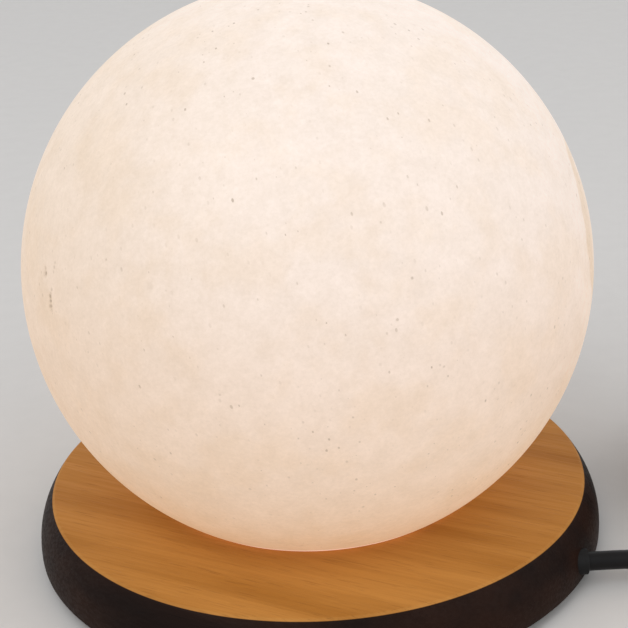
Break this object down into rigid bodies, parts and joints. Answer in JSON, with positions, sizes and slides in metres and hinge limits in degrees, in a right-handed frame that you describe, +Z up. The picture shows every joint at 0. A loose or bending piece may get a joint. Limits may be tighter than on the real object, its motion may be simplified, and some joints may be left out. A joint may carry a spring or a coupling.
{
  "type": "salt lamp",
  "caption": "Ball-shaped stone lamp lit from inside by a small screw bulb, on a turned wooden base, with a mains lead, in-line rocker switch and round-pin plug.",
  "frame": {"origin": "on the table, under the middle of the wooden base, at the level of the feet's undersides", "axes": "+Z up along the axis of the base, the bulb and the sphere; the viewer looks along +Y; the lead leaves the base towards +X"},
  "size_m": [0.3405, 0.157, 0.1539],
  "materials": {
    "stone": "polished, translucent, faintly clouded",
    "wood": "satin varnished turned wood",
    "cover": "black fibre board",
    "rubber": "soft black rubber",
    "zinc_steel": "zinc plated",
    "brass": "drawn brass",
    "holder_plastic": "black moulded",
    "insulator_ceramic": "unglazed",
    "bulb_cap_metal": "rolled thread",
    "solder": "dull solder",
    "bulb_insulator": "black vitreous",
    "bulb_glass": "clear",
    "filament": "glowing tungsten",
    "lead_plastic": "smooth black sheath",
    "core_brown": "smooth",
    "core_blue": "smooth",
    "clamp_plastic": "natural nylon",
    "switch_plastic": "fine spark texture",
    "rocker_plastic": "polished",
    "plug_plastic": "moulded",
    "pin_metal": "nickel plated brass",
    "tie_strap": "hook and loop strap"
  },
  "bodies": {
    "base": {"base_disc": "wood", "bottom_cover": "cover", "cover_screws": "zinc_steel", "rubber_feet": "rubber", "locating_dish": "zinc_steel", "threaded_tube": "brass", "tube_nut": "brass", "tube_washer": "zinc_steel", "holder_cap": "holder_plastic", "holder_insert": "insulator_ceramic", "holder_sleeve": "holder_plastic", "screw_shell": "brass", "centre_contact": "brass", "terminal_screws": "brass", "side_bushing": "rubber", "inner_cord": "lead_plastic", "live_core": "core_brown", "neutral_core": "core_blue", "clamp_saddle": "clamp_plastic", "clamp_strap": "clamp_plastic", "clamp_screws": "zinc_steel", "lead_to_switch": "lead_plastic", "switch_lower_shell": "switch_plastic", "switch_upper_shell": "switch_plastic", "switch_terminals": "brass", "switch_cores": "core_brown", "switch_screws": "zinc_steel", "lead_to_coil": "lead_plastic", "cord_coil": "lead_plastic", "coil_tie": "tie_strap", "lead_to_plug": "lead_plastic", "plug_body": "plug_plastic", "plug_pins": "pin_metal", "pin_sleeves": "plug_plastic"},
    "sphere": {"salt_sphere": "stone"},
    "bulb_tip": {"bulb_contact": "solder"},
    "bulb": {"bulb_insulator": "bulb_insulator", "bulb_screw_cap": "bulb_cap_metal", "bulb_glass": "bulb_glass", "bulb_stem": "bulb_glass", "bulb_wires": "zinc_steel", "bulb_filament": "filament"},
    "rocker": {"switch_rocker": "rocker_plastic"}
  },
  "joints": [
    {"name": "sphere_lift", "type": "slide", "parent": "base", "child": "sphere", "axis": [0, 0, 1], "range_m": [0, 0.1]},
    {"name": "bulb_rise", "type": "slide", "parent": "base", "child": "bulb_tip", "axis": [0, 0, 1], "range_m": [0, 0.01129]},
    {"name": "bulb_turn", "type": "hinge", "parent": "bulb_tip", "child": "bulb", "pos_m": [0, 0, 0.05], "axis": [0, 0, 1], "range_deg": [0, 1440]},
    {"name": "rocker_tip", "type": "hinge", "parent": "base", "child": "rocker", "pos_m": [0.189, 0.0415, 0.0146], "axis": [0, -1, 0], "range_deg": [0, 24]}
  ],
  "couplings": [
    {"joint": "bulb_rise", "follows": "bulb_turn", "m_per_rad": 0.00044882}
  ]
}
